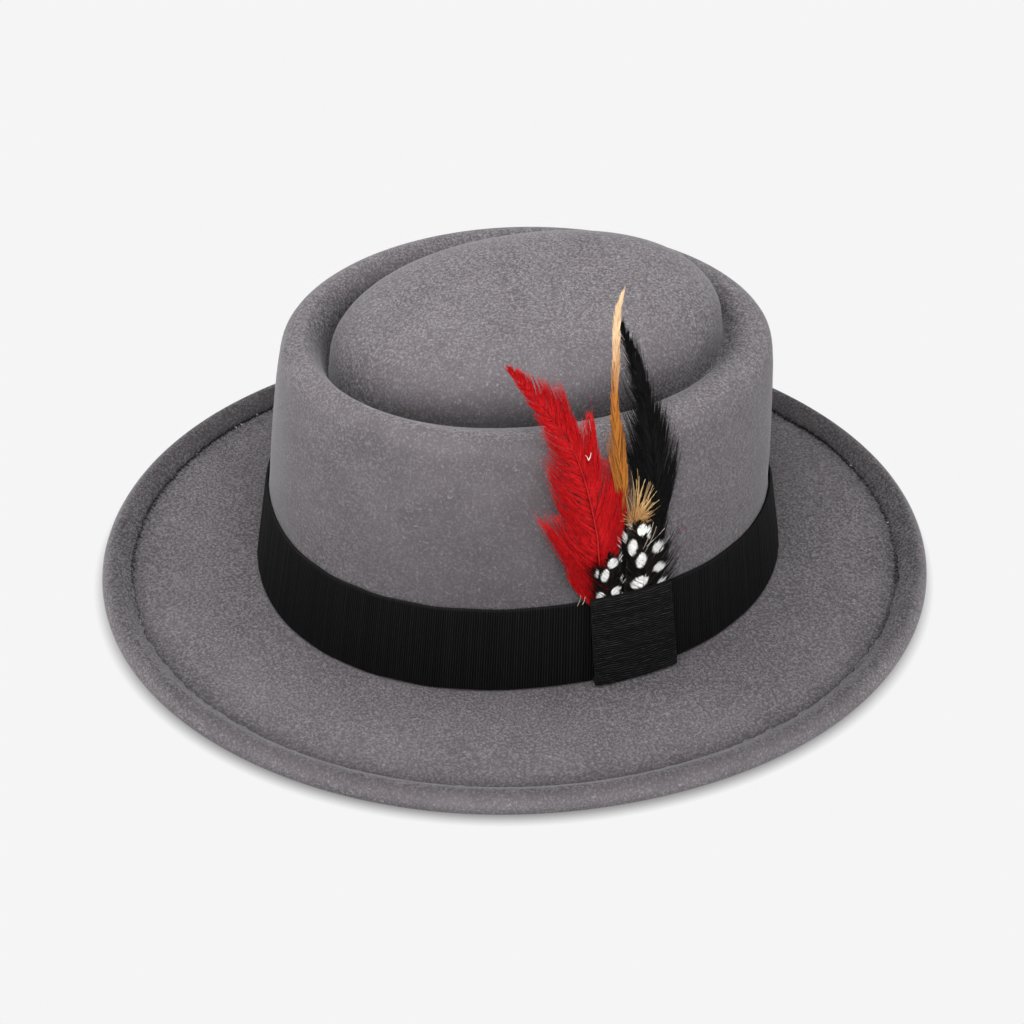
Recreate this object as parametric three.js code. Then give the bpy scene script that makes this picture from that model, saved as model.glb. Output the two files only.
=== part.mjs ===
import * as THREE from 'three';

// Millimetres, +Z up. The hat stands on its brim at z = 0 with its front toward -Y.
// The wearer's left is +X, where the ribbon's tab and the plume are.

// Felt
const headWide = 168.0;
const headLong = 202.0;
const feltThick = 2.0;
const brimSide = 65.9;
const brimEnd = 63.0;
const rollWide = 12.0;
const rollHigh = 9.6;
const ridgeHigh = 111.9;
const ridgeWide = 144.0;
const ridgeLong = 173.0;
const domeHigh = 129.6;
const domeWide = 114.0;
const domeLong = 152.6;
const grooveHigh = 102.0;
const domeBulgePower = 4.2;
const domeFallPower = 2.55;
const domeBack = 2.0;
const domeLeft = 2.0;
const domeTip = 7.0;
const crownBack = 0.8;
const crownSet = 1.9;
const crownTip = 1.8;
const crownEndRise = 1.1;

// Ribbon
const ribbonHigh = 37.1;
const ribbonThick = 1.0;
const ribbonFoot = 8.7;
const ribbonFlare = 0.6;
const gap = 0.3;
const tabFold = 1.2;
const tabOut = 2.7;
const tabRise = 3.4;
const tabHalfAngle = 8.85;
const tabTopAngle = 11.6;
const tabFootAngle = 12.8;

// Plume
const plumeAngle = 13.0;
const plumeTuck = 4.8;
const plumeSpread = 14.0;
const bladeThick = 0.7;
const bladeGap = 0.4;
const bladeStep = 7.5;
const leanStart = 1.5;
const leanBow = 7.7;
const leanClear = 1.5;
const fanRise = 30.0;
const redTall = 112.3;
const tanTall = 131.1;
const blackTall = 118.8;
const hairTall = 64.0;
const spottedTall = 41.4;
const spottedLow = 31.3;

const turns = 64;
const rad = Math.PI / 180;

// A closed oval of the hat. Each column: half width, half length, shift to the back, height,
// rise toward the back, rise at both ends, squareness of the oval and shift to the left.
function ovalPoint(oval, turn) {
  const [wide, long, back, up, tilt, ends, square, left = 0] = oval;
  const c = Math.cos(turn);
  const s = Math.sin(turn);
  const bow = 2 / square;
  return [
    left + wide * Math.sign(c) * Math.abs(c) ** bow,
    back + crownBack + long * Math.sign(s) * Math.abs(s) ** bow,
    up + tilt * s - ends * Math.cos(2 * turn),
  ];
}

function mixOval(a, b, share) {
  return a.map((value, i) => value + ((b[i] ?? 0) - value) * share);
}

// Moves a profile of ovals inward by a thickness, square to the profile.
function insideOf(profile, index, thick) {
  const before = profile[Math.max(index - 1, 0)];
  const after = profile[Math.min(index + 1, profile.length - 1)];
  const out = (after[0] + after[1] - before[0] - before[1]) / 2;
  const up = after[3] - before[3];
  const size = Math.hypot(out, up);
  const oval = [...profile[index]];
  oval[0] += (thick * up) / size;
  oval[1] += (thick * up) / size;
  oval[3] -= (thick * out) / size;
  return oval;
}

const faces = (a, b, c, d) => [[a, b, c], [a, c, d]];

function solid(name, points, triangles, colour, roughness) {
  let volume = 0;
  for (const [a, b, c] of triangles) {
    const p = new THREE.Vector3(...points[a]);
    const q = new THREE.Vector3(...points[b]);
    volume += p.dot(q.cross(new THREE.Vector3(...points[c])));
  }
  const index = volume < 0 ? triangles.map(([a, b, c]) => [a, c, b]) : triangles;
  const geometry = new THREE.BufferGeometry();
  geometry.setAttribute('position', new THREE.Float32BufferAttribute(points.flat(), 3));
  geometry.setIndex(index.flat());
  geometry.computeVertexNormals();
  const material = new THREE.MeshStandardMaterial({ color: colour, roughness, metalness: 0 });
  const mesh = new THREE.Mesh(geometry, material);
  mesh.name = name;
  return mesh;
}

function ringTriangles(rows, closed) {
  const list = [];
  const last = closed ? rows : rows - 1;
  for (let i = 0; i < last; i += 1) {
    const next = (i + 1) % rows;
    for (let j = 0; j < turns; j += 1) {
      const k = (j + 1) % turns;
      list.push(...faces(i * turns + j, i * turns + k, next * turns + k, next * turns + j));
    }
  }
  return list;
}

const ringPoints = (ovals) => ovals.flatMap((oval) => (
  Array.from({ length: turns }, (_, j) => ovalPoint(oval, (j / turns) * 2 * Math.PI))
));

// Felt body: the outer face from the crown's middle out to the brim, then the inner face back.
const baseWide = headWide / 2 + feltThick;
const baseLong = headLong / 2 + feltThick;
const edgeWide = baseWide + brimSide;
const edgeLong = baseLong + brimEnd;
const domeRise = domeHigh - grooveHigh;
const crownUp = ridgeHigh - ribbonFoot;

// Dome: shares of its half width, from the middle to the groove.
const domeShares = [0.28, 0.48, 0.65, 0.78, 0.88, 0.95, 0.985];
const domeOval = (share) => {
  const rise = (1 - share ** domeBulgePower) ** (1 / domeFallPower);
  return [
    (domeWide / 2) * share, (domeLong / 2) * share, crownSet * 0.63 + domeBack * (1 - share * share),
    grooveHigh + domeRise * rise, domeTip * (1 - rise * 0.21) * share, 0, 2.1,
    domeLeft * (share * share * 0.5 - 1),
  ];
};

// Rows of the tables: name, half width and half length, shift to the back as a share of crownSet,
// height, rise toward the back as a share of crownTip, rise at the ends as a share of crownEndRise,
// and the oval's squareness.
const settled = (wide, long, back, up, tilt, ends, square) => (
  [wide, long, crownSet * back, up, crownTip * tilt, crownEndRise * ends, square]
);

// Ridge: half sizes as shares of the ridge's, up as a share of its height.
const ridgeTable = [
  ['groove', 0.792, 0.884, 0.53, 0.9115, 3.67, 0, 2.1],
  ['steep', 0.794, 0.91, 0.63, 0.9385, 1.78, 0, 2.11],
  ['lip', 0.8125, 0.922, 0.79, 0.963, 0.83, 0, 2.12],
  ['slope', 0.85, 0.941, 0.84, 0.9775, 0.39, 0, 2.09],
  ['shoulder', 0.903, 0.963, 0.89, 0.99, -0.11, 0, 2.05],
  ['inner top', 0.958, 0.985, 0.95, 0.9982, -0.5, 0, 2.01],
  ['top', 1, 1, 1, 1, -0.72, 0, 1.98],
  ['outer top', 1.04, 1.034, 1, 0.9955, -0.72, 0, 1.98],
  ['round', 1.076, 1.064, 1, 0.983, -0.72, 0, 1.98],
  ['side', 1.105, 1.088, 1, 0.961, -0.72, 0, 1.98],
];
const ridgeOval = ([, wide, long, back, up, ...rest]) => (
  settled((ridgeWide / 2) * wide, (ridgeLong / 2) * long, back, ridgeHigh * up, ...rest)
);

// Wall: half sizes as shares of the base oval, up as a share from the ribbon's foot to the ridge.
const wallTable = [
  ['under ridge', 0.942, 0.927, 0.89, 0.885, -0.61, 0, 1.99],
  ['high', 0.966, 0.934, 0.63, 0.795, -0.33, 0, 2.02],
  ['upper', 0.988, 0.941, 0.32, 0.672, 0.11, -0.18, 2.06],
  ['middle', 1.004, 0.948, 0, 0.517, 0.56, -0.45, 2.1],
  ['ribbon top', 1.012, 0.9535, -0.32, 0.3595, 0.94, -0.64, 2.13],
  ['ribbon foot', 0.998, 1, 0, 0.0155, 1, 0.91, 2.13],
];
const wallOval = ([, wide, long, back, up, ...rest]) => (
  settled(baseWide * wide, baseLong * long, back, ribbonFoot + crownUp * up, ...rest)
);

// Brim: out as a share from the base oval to the rolled edge, up as a share of the roll's height.
const brimTable = [
  ['fold', 0.004, 0, 0.892, 1, 1, 2.13],
  ['fold foot', 0.022, 0, 0.7875, 1, 1, 2.13],
  ['inner', 0.075, 0, 0.7375, 0.89, 0.91, 2.12],
  ['middle', 0.42, -0.21, 0.633, 0.5, 0.45, 2.08],
  ['outer', 0.7, -0.37, 0.533, 0.17, 0.18, 2.04],
];
const brimOval = ([, out, back, up, ...rest]) => (
  settled(baseWide + brimSide * out, baseLong + brimEnd * out, back, rollHigh * up, ...rest)
);

// Rolled edge: in from the outermost line as a share of its width, up as a share of its height.
const edgeOval = (inward, up) => [
  edgeWide - rollWide * inward, edgeLong - rollWide * inward, -crownBack, up, 0, 0, 2.02,
];
const rollTable = (rows) => rows.map(([, inward, up]) => edgeOval(inward, rollHigh * up));
const curlInside = rollTable([
  ['seam', 1.000, 0.440],
  ['dip', 0.800, 0.300],
  ['floor', 0.520, 0.215],
  ['rise', 0.290, 0.260],
  ['outer wall', 0.180, 0.460],
  ['roof outer', 0.280, 0.720],
  ['roof', 0.450, 0.775],
  ['roof inner', 0.640, 0.670],
  ['inner wall', 0.790, 0.545],
  ['cut edge', 0.905, 0.455],
]);
const curlOutside = rollTable([
  ['cut edge', 0.980, 0.495],
  ['steep foot', 0.905, 0.620],
  ['steep', 0.785, 0.730],
  ['inner top', 0.660, 0.855],
  ['top', 0.480, 0.970],
  ['top outer', 0.310, 1.000],
  ['shoulder', 0.145, 0.840],
  ['side', 0.040, 0.660],
  ['outermost', 0.000, 0.440],
  ['under', 0.080, 0.170],
  ['rest outer', 0.280, 0.000],
  ['rest inner', 0.600, 0.000],
  ['lift', 0.860, 0.110],
  ['under seam', 1.120, 0.250],
]);

function feltBody() {
  const dome = domeShares.map(domeOval);
  const ridge = ridgeTable.map(ridgeOval);
  const wall = wallTable.map(wallOval);
  const brim = brimTable.map(brimOval);
  const outer = [...dome, ...ridge, ...wall, ...brim];
  const profile = [...outer, ...curlInside];
  const under = (oval) => insideOf(profile, outer.indexOf(oval), feltThick);
  const crease = (side) => {
    const oval = [...ridge[0]];
    oval[0] += side * feltThick;
    oval[1] += side * feltThick;
    oval[3] -= feltThick * 0.6;
    return oval;
  };
  const inner = [
    ...[brim[3], brim[2], brim[1], wall[5], wall[4], wall[2], wall[0]].map(under),
    ...[ridge[8], ridge[6], ridge[4], ridge[2]].map(under),
    crease(1), crease(-1),
    ...[dome[5], dome[3], dome[2], dome[0]].map(under),
  ];
  const ovals = [...profile, ...curlOutside, ...inner];
  const points = ringPoints(ovals);
  const middle = [-domeLeft, crownBack + crownSet * 0.63 + domeBack];
  const top = points.push([...middle, domeHigh]) - 1;
  const below = points.push([...middle, domeHigh - feltThick]) - 1;
  const triangles = ringTriangles(ovals.length, false);
  const start = (ovals.length - 1) * turns;
  for (let j = 0; j < turns; j += 1) {
    const k = (j + 1) % turns;
    triangles.push([top, k, j], [below, start + j, start + k]);
  }
  return solid('felt_body', points, triangles, 0x76727a, 0.95);
}

// Ribbon: it stands the gap outside the wall and flares a little at its foot.
const wallTop = wallOval(wallTable[4]);
const wallFoot = wallOval(wallTable[5]);
function ribbonOval(share, out) {
  const foot = [...wallFoot];
  foot[3] = ribbonFoot;
  foot[4] = crownTip;
  foot[5] = crownEndRise;
  const oval = mixOval(foot, [...wallTop.slice(0, 3), ribbonFoot + ribbonHigh, ...wallTop.slice(4)], share);
  const spread = gap + out + ribbonFlare * (1 - share);
  oval[0] += spread;
  oval[1] += spread;
  return oval;
}

function ribbonBand() {
  const ovals = [
    ribbonOval(0, 0), ribbonOval(0, ribbonThick), ribbonOval(0.5, ribbonThick),
    ribbonOval(1, ribbonThick), ribbonOval(1, 0), ribbonOval(0.5, 0),
  ];
  return solid('ribbon_band', ringPoints(ovals), ringTriangles(ovals.length, true), 0x161617, 0.8);
}

// A point outside the ribbon: share of its height, turn round the crown and distance out.
function ribbonPoint(share, turn, out) {
  const oval = ribbonOval(share, ribbonThick);
  const [x, y, z] = ovalPoint(oval, turn);
  const nx = x / oval[0] ** 2;
  const ny = (y - oval[2] - crownBack) / oval[1] ** 2;
  const size = Math.hypot(nx, ny);
  return [x + (nx / size) * out, y + (ny / size) * out, z];
}

// Tab: one section, [out, up], carried across the ribbon.
function ribbonTab() {
  const fold = tabOut + tabFold;
  const head = 1 + tabRise / ribbonHigh;
  const section = [
    [gap, 0.005], [fold - tabFold * 0.4, 0], [fold, 0.02], [fold, 0.5], [fold, head - 0.012],
    [fold - tabFold * 0.3, head], [tabOut, head], [tabOut, 0.5], [tabOut, 0.06], [gap, 0.045],
  ];
  const columns = 9;
  const points = [];
  for (let i = 0; i < columns; i += 1) {
    const across = (i / (columns - 1)) * 2 - 1;
    for (const [out, share] of section) {
      const middle = tabFootAngle + (tabTopAngle - tabFootAngle) * share;
      points.push(ribbonPoint(share, (middle + across * tabHalfAngle) * rad, out));
    }
  }
  const n = section.length;
  const triangles = [];
  for (let i = 0; i < columns - 1; i += 1) {
    for (let j = 0; j < n; j += 1) {
      const k = (j + 1) % n;
      triangles.push(...faces(i * n + j, i * n + k, (i + 1) * n + k, (i + 1) * n + j));
    }
  }
  const pairs = [[0, 1, 8, 9], [1, 2, 7, 8], [2, 3, 7], [3, 4, 6, 7], [4, 5, 6]];
  const cap = pairs.flatMap((p) => (p.length === 3 ? [p] : [[p[0], p[1], p[2]], [p[0], p[2], p[3]]]));
  const end = (columns - 1) * n;
  for (const [a, b, c] of cap) {
    triangles.push([a, c, b], [end + a, end + b, end + c]);
  }
  return solid('ribbon_tab', points, triangles, 0x161617, 0.8);
}

// Plume: each feather lies on its own curved sheet, which leans in with the crown's wall.
const plumeRoot = ribbonPoint(1, plumeAngle * rad, 0);
const step = 0.01 * rad;
const ahead = ribbonPoint(1, plumeAngle * rad + step, 0);
const along = new THREE.Vector3(ahead[0] - plumeRoot[0], ahead[1] - plumeRoot[1], 0).normalize();
const outward = new THREE.Vector3(along.y, -along.x, 0);

const plumeTop = ribbonFoot + ribbonHigh;
const ribbonTop = ribbonOval(1, ribbonThick);
const ribbonBend = (2 * ribbonTop[1] ** 2) / ribbonTop[0];
const fanStart = plumeTop + tabRise + 2 * bladeGap;

// How far an oval of the crown reaches past the ribbon's face at the plume.
function reach(oval) {
  let most = -Infinity;
  for (let j = 0; j < turns; j += 1) {
    const [x, y] = ovalPoint(oval, (j / turns) * 2 * Math.PI);
    most = Math.max(most, (x - plumeRoot[0]) * outward.x + (y - plumeRoot[1]) * outward.y);
  }
  return most;
}
const crown = [...ridgeTable.slice(6).map(ridgeOval), ...wallTable.slice(0, 4).map(wallOval)];
const leanIn = Math.min(...crown.map((oval) => (
  (leanStart - leanClear - reach(oval)) / (oval[3] - plumeTop)
)));

function sheetOut(across, up, tucked, layer) {
  const share = Math.min(Math.max((up - fanStart) / fanRise, 0), 1);
  const fan = share * share * (3 - 2 * share);
  const high = Math.max(up - plumeTop, 0);
  const lean = leanStart - leanIn * high - leanBow * (high / tanTall) ** 2;
  return (tucked - (across * across) / ribbonBend) * (1 - fan) + (lean + layer) * fan;
}

// Rows from root to tip, as shares of the feather's height: the shaft's across and up,
// then the left edge's and the right edge's. A far edge is the point of one lock of the vane.
const red = [
  [0.000, 0.000, -0.007, 0.000, 0.007, 0.000],
  [0.004, 0.043, -0.004, 0.043, 0.012, 0.043],
  [-0.007, 0.122, -0.073, 0.117, 0.014, 0.122],
  [-0.014, 0.192, -0.123, 0.184, 0.029, 0.183],
  [-0.020, 0.258, -0.137, 0.268, 0.050, 0.293],
  [-0.025, 0.329, -0.173, 0.380, 0.069, 0.364],
  [-0.034, 0.391, -0.240, 0.460, 0.077, 0.433],
  [-0.043, 0.444, -0.116, 0.434, 0.067, 0.507],
  [-0.055, 0.507, -0.177, 0.502, 0.047, 0.603],
  [-0.069, 0.565, -0.190, 0.573, -0.011, 0.609],
  [-0.088, 0.631, -0.197, 0.653, -0.033, 0.797],
  [-0.112, 0.685, -0.183, 0.685, -0.077, 0.728],
  [-0.142, 0.738, -0.204, 0.752, -0.116, 0.818],
  [-0.183, 0.805, -0.238, 0.845, -0.132, 0.889],
  [-0.245, 0.898, -0.280, 0.925, -0.209, 0.934],
  [-0.313, 1.000, -0.313, 1.000, -0.313, 1.000],
];
const tan = [
  [0.000, 0.000, -0.005, 0.000, 0.005, 0.000],
  [0.001, 0.141, -0.005, 0.141, 0.007, 0.141],
  [-0.006, 0.304, -0.012, 0.304, 0.001, 0.304],
  [-0.008, 0.402, -0.021, 0.412, 0.010, 0.404],
  [-0.013, 0.463, -0.036, 0.467, 0.005, 0.463],
  [-0.019, 0.509, -0.047, 0.511, 0.002, 0.529],
  [-0.024, 0.555, -0.060, 0.575, -0.002, 0.591],
  [-0.026, 0.616, -0.047, 0.616, -0.012, 0.638],
  [-0.027, 0.684, -0.037, 0.684, -0.018, 0.684],
  [-0.022, 0.768, -0.031, 0.775, -0.011, 0.768],
  [-0.014, 0.844, -0.023, 0.844, -0.003, 0.841],
  [-0.010, 0.912, -0.020, 0.916, 0.002, 0.912],
  [0.003, 0.962, -0.006, 0.966, 0.011, 0.966],
  [0.021, 1.000, 0.021, 1.000, 0.021, 1.000],
];
const black = [
  [0.000, 0.000, -0.006, 0.000, 0.006, 0.000],
  [0.008, 0.133, 0.002, 0.133, 0.015, 0.133],
  [0.011, 0.255, -0.013, 0.255, 0.037, 0.255],
  [0.017, 0.338, -0.029, 0.363, 0.053, 0.354],
  [0.019, 0.413, -0.035, 0.423, 0.061, 0.434],
  [0.019, 0.464, -0.050, 0.497, 0.087, 0.485],
  [0.017, 0.523, -0.065, 0.568, 0.088, 0.540],
  [0.012, 0.591, -0.056, 0.650, 0.063, 0.612],
  [0.003, 0.658, -0.046, 0.730, 0.051, 0.674],
  [-0.008, 0.726, -0.050, 0.796, 0.013, 0.755],
  [-0.024, 0.793, -0.058, 0.852, -0.013, 0.843],
  [-0.045, 0.856, -0.066, 0.902, -0.035, 0.906],
  [-0.062, 0.928, -0.072, 0.944, -0.052, 0.940],
  [-0.079, 1.000, -0.079, 1.000, -0.079, 1.000],
];
const hair = [
  [0.000, 0.000, -0.012, 0.000, 0.012, 0.000],
  [0.000, 0.330, -0.016, 0.330, 0.016, 0.330],
  [-0.002, 0.470, -0.055, 0.510, 0.062, 0.490],
  [-0.003, 0.575, -0.074, 0.732, 0.124, 0.637],
  [-0.004, 0.637, -0.056, 1.000, 0.111, 0.736],
  [-0.004, 0.700, -0.031, 0.794, 0.061, 0.684],
  [-0.004, 0.763, -0.020, 0.810, 0.085, 0.818],
  [-0.004, 0.810, -0.014, 0.832, 0.017, 0.779],
  [-0.004, 0.890, -0.004, 0.890, -0.004, 0.890],
];
const spottedRight = [
  [0.000, 0.000, -0.121, 0.000, 0.109, 0.000],
  [0.017, 0.114, -0.176, 0.114, 0.213, 0.114],
  [0.010, 0.275, -0.190, 0.333, 0.251, 0.333],
  [-0.010, 0.449, -0.190, 0.594, 0.220, 0.478],
  [-0.031, 0.623, -0.250, 0.928, 0.225, 0.703],
  [-0.043, 0.756, -0.175, 0.843, 0.111, 0.729],
  [-0.051, 0.855, -0.140, 1.000, 0.097, 0.903],
  [-0.065, 1.000, -0.065, 1.000, -0.065, 1.000],
];
const spottedLeft = [
  [0.000, 0.000, -0.112, 0.000, 0.105, 0.000],
  [0.022, 0.150, -0.160, 0.150, 0.130, 0.150],
  [0.006, 0.364, -0.211, 0.441, 0.120, 0.403],
  [-0.016, 0.556, -0.288, 0.824, 0.095, 0.674],
  [-0.038, 0.712, -0.141, 0.767, 0.065, 0.914],
  [-0.064, 1.000, -0.064, 1.000, -0.064, 1.000],
];

// Feathers lie in layers a blade and a gap apart. Each row: name, rows, root as a share of
// plumeSpread, height, layer behind the tab, layer above it and colour.
const feathers = [
  ['feather_black', black, 0.39, blackTall, 0, 0, 0x141416],
  ['feather_red', red, -1, redTall, 0, 1, 0xb5161c],
  ['feather_tan', tan, -0.36, tanTall, 0, 2, 0xc98f4e],
  ['hair_tuft', hair, 0.036, hairTall, 0, 3, 0xb98a58],
  ['spotted_feather_right', spottedRight, 0.143, spottedTall, 1, 4, 0x242222],
  ['spotted_feather_left', spottedLeft, -0.82, spottedLow, 1, 4, 0x242222],
];
const bladePitch = bladeThick + bladeGap;
const plumeFoot = plumeTop - plumeTuck;

function steppedRows(rows, tall) {
  const list = [rows[0]];
  for (let i = 1; i < rows.length; i += 1) {
    const steps = Math.max(1, Math.round(((rows[i][1] - rows[i - 1][1]) * tall) / bladeStep));
    for (let j = 1; j <= steps; j += 1) {
      list.push(rows[i].map((value, c) => rows[i - 1][c] + ((value - rows[i - 1][c]) * j) / steps));
    }
  }
  return list;
}

function feather([name, table, root, tall, tuckedLayer, freeLayer, colour]) {
  const rows = steppedRows(table, tall);
  const across = root * plumeSpread;
  const tucked = gap + bladeThick / 2 + bladePitch * tuckedLayer;
  const layer = bladeThick + bladePitch * freeLayer;
  const flat = [];
  for (const row of rows.slice(0, -1)) {
    flat.push([row[2], row[3]], [row[0], row[1]], [row[4], row[5]]);
  }
  flat.push(rows.at(-1).slice(0, 2));
  const count = flat.length;
  const place = (side) => flat.map(([a, u]) => {
    const s = across + a * tall;
    const z = plumeFoot + u * tall;
    const out = sheetOut(s, z, tucked, layer) + (side * bladeThick) / 2;
    return [
      plumeRoot[0] + along.x * s + outward.x * out,
      plumeRoot[1] + along.y * s + outward.y * out,
      z,
    ];
  });
  const points = [...place(1), ...place(-1)];
  const turn = (a, b, c) => (flat[b][0] - flat[a][0]) * (flat[c][1] - flat[a][1])
    - (flat[b][1] - flat[a][1]) * (flat[c][0] - flat[a][0]);
  const front = [];
  const quad = (a, b, c, d) => {
    const whole = turn(a, b, c) > 0 && turn(a, c, d) > 0;
    front.push(...(whole ? [[a, b, c], [a, c, d]] : [[b, c, d], [b, d, a]]));
  };
  const full = (count - 1) / 3;
  for (let i = 0; i < full - 1; i += 1) {
    const r = i * 3;
    quad(r, r + 1, r + 4, r + 3);
    quad(r + 1, r + 2, r + 5, r + 4);
  }
  const r = (full - 1) * 3;
  const tip = count - 1;
  front.push([r, r + 1, tip], [r + 1, r + 2, tip]);
  const triangles = front.flatMap(([a, b, c]) => [[a, b, c], [a + count, c + count, b + count]]);
  const rim = [1, 2];
  for (let i = 1; i < full; i += 1) rim.push(i * 3 + 2);
  rim.push(tip);
  for (let i = full - 1; i >= 0; i -= 1) rim.push(i * 3);
  for (let i = 0; i < rim.length; i += 1) {
    const a = rim[i];
    const b = rim[(i + 1) % rim.length];
    triangles.push([b, a, a + count], [b, a + count, b + count]);
  }
  return solid(name, points, triangles, colour, 0.7);
}

const hat = new THREE.Group();
hat.name = 'porkpie_hat';
hat.add(feltBody(), ribbonBand(), ribbonTab(), ...feathers.map(feather));

export default hat;
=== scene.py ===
import bpy
import numpy as np
from mathutils import Matrix, Vector


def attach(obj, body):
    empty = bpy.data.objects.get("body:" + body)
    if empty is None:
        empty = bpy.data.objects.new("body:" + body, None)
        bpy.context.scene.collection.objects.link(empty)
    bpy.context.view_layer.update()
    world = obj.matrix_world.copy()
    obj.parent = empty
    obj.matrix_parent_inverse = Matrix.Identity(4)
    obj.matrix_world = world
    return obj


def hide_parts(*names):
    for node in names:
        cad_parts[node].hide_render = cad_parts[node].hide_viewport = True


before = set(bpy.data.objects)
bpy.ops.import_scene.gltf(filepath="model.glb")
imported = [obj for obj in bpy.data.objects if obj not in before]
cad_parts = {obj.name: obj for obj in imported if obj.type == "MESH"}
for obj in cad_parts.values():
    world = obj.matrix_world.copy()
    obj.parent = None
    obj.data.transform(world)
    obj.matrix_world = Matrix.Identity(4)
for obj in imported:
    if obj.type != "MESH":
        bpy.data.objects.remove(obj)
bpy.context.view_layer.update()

scene = bpy.context.scene
mm = 0.001
rng = np.random.default_rng(11)
print("frame loaded:", len(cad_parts), "nodes")


def linear(red, green, blue):
    # Screen colour, 0 to 255, to linear light.
    c = np.array([red, green, blue]) / 255
    return np.where(c <= 0.04045, c / 12.92, ((c + 0.055) / 1.055) ** 2.4)


def blend(a, b, share):
    # From a to b: a * (1 - share) + b * share.
    return a * (1 - share) + b * share


def eased(share):
    # A soft step from 0 to 1: share^2 * (3 - 2 share).
    return share * share * (3 - 2 * share)


def smoothRows(rows, step):
    # A Catmull-Rom curve through the rows; its pace follows the square root of their distance.
    shortest = 0.02                                    # rows in one place still keep a pace
    p = np.vstack([2 * rows[0] - rows[1], rows, 2 * rows[-1] - rows[-2]])
    pace = np.sqrt(np.maximum(np.hypot(np.diff(p[:, 0]), np.diff(p[:, 3])), shortest))
    t = np.concatenate([[0], np.cumsum(pace)])
    pieces = np.maximum(np.ceil(pace[1:-1] ** 2 / step), 1).astype(int)
    i = np.repeat(np.arange(len(rows) - 1), pieces)
    first = np.repeat(np.cumsum(pieces) - pieces, pieces)
    u = t[i + 1] + (np.arange(len(i)) - first) / pieces[i] * (t[i + 2] - t[i + 1])

    def mix(a, b, start, end):
        return blend(a, b, ((u - start) / (end - start))[:, None])

    a = [mix(p[i + k], p[i + k + 1], t[i + k], t[i + k + 1]) for k in range(3)]
    b = [mix(a[k], a[k + 1], t[i + k], t[i + k + 2]) for k in range(2)]
    return np.vstack([mix(*b, t[i + 1], t[i + 2]), rows[-1:]])


def gridFaces(index, wrap):
    # Quads between neighbouring rows of an index grid; wrap joins its last column to its first.
    after = np.roll(index, -1, -1) if wrap else index[..., 1:]
    here = index if wrap else index[..., :-1]
    corners = [here[..., :-1, :], here[..., 1:, :], after[..., 1:, :], after[..., :-1, :]]
    return np.stack(corners, -1).reshape(-1, 4)


def rodFaces(count, rings, sides, start=0):
    # Rods one after another, each a row of rings: quads between the rings and a cap at each end.
    index = np.arange(count * rings * sides).reshape(count, rings, sides) + start
    return [gridFaces(index, True), index[:, 0], index[:, -1, ::-1]]


def turnedOutward(points, faces):
    # Signed volume of the closed surface; the faces are reversed where it is negative.
    total = 0.0
    for part in faces:
        a = points[part[:, 0]]
        for k in range(1, part.shape[1] - 1):
            total += np.einsum("ij,ij->", a, np.cross(points[part[:, k]], points[part[:, k + 1]]))
    return [part[:, ::-1] for part in faces] if total < 0 else faces


def addPiece(name, points, faces, material, replaced=(), tint=None, uv=None):
    # Points in millimetres, faces as arrays of equal-sided faces, tint a colour for each point.
    points = np.asarray(points, float).reshape(-1, 3)
    faces = turnedOutward(points, faces)
    mesh = bpy.data.meshes.new(name)
    mesh.from_pydata((points * mm).tolist(), [], [f for part in faces for f in part.tolist()])
    mesh.polygons.foreach_set("use_smooth", np.ones(len(mesh.polygons), bool))
    corner = np.zeros(len(mesh.loops), int)
    mesh.loops.foreach_get("vertex_index", corner)
    if tint is not None:
        rgba = np.ones((len(points), 4), np.float32)
        rgba[:, :3] = np.asarray(tint).reshape(-1, 3)
        layer = mesh.color_attributes.new(name="tint", type="FLOAT_COLOR", domain="POINT")
        layer.data.foreach_set("color", rgba.ravel())
    if uv is not None:
        flat = np.asarray(uv, float).reshape(-1, 2)[corner]
        mesh.uv_layers.new(name="cloth").data.foreach_set("uv", flat.ravel())
    mesh.materials.append(material)
    mesh.update()
    piece = bpy.data.objects.new(name, mesh)
    scene.collection.objects.link(piece)
    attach(piece, "root")
    if replaced:
        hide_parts(*replaced)
    print(name, len(points), "points,", sum(len(p) * (p.shape[1] - 2) for p in faces), "triangles")


def addNode(tree, kind, sockets=None, **settings):
    # One node with its settings; each socket gets a value or the output of another node.
    node = tree.nodes.new(kind if kind.startswith("Node") else "ShaderNode" + kind)
    for key, value in settings.items():
        setattr(node, key, value)
    for key, value in (sockets or {}).items():
        if isinstance(value, bpy.types.NodeSocket):
            tree.links.new(value, node.inputs[key])
        else:
            node.inputs[key].default_value = value
    return node


def maths(tree, operation, a, b=None, clamp=False):
    # One maths node on one or two values.
    sockets = {0: a} if b is None else {0: a, 1: b}
    return addNode(tree, "Math", sockets, operation=operation, use_clamp=clamp).outputs[0]


def newGroup(name, inputs, outputs):
    # A node group with named sockets, and its own input node.
    group = bpy.data.node_groups.new(name, "ShaderNodeTree")
    for label, kind, value in inputs:
        socket = group.interface.new_socket(label, in_out="INPUT", socket_type="NodeSocket" + kind)
        socket.default_value = value
    for label in outputs:
        group.interface.new_socket(label, in_out="OUTPUT", socket_type="NodeSocketFloat")
    return group, addNode(group, "NodeGroupInput")


def newMaterial(name, **shader):
    # A material with its shader's sockets set by name, with "_" for each space.
    material = bpy.data.materials.new(name)
    material.use_nodes = True
    tree = material.node_tree
    principled = tree.nodes["Principled BSDF"]
    for key, value in shader.items():
        principled.inputs[key.replace("_", " ")].default_value = value
    return material, tree, principled


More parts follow.
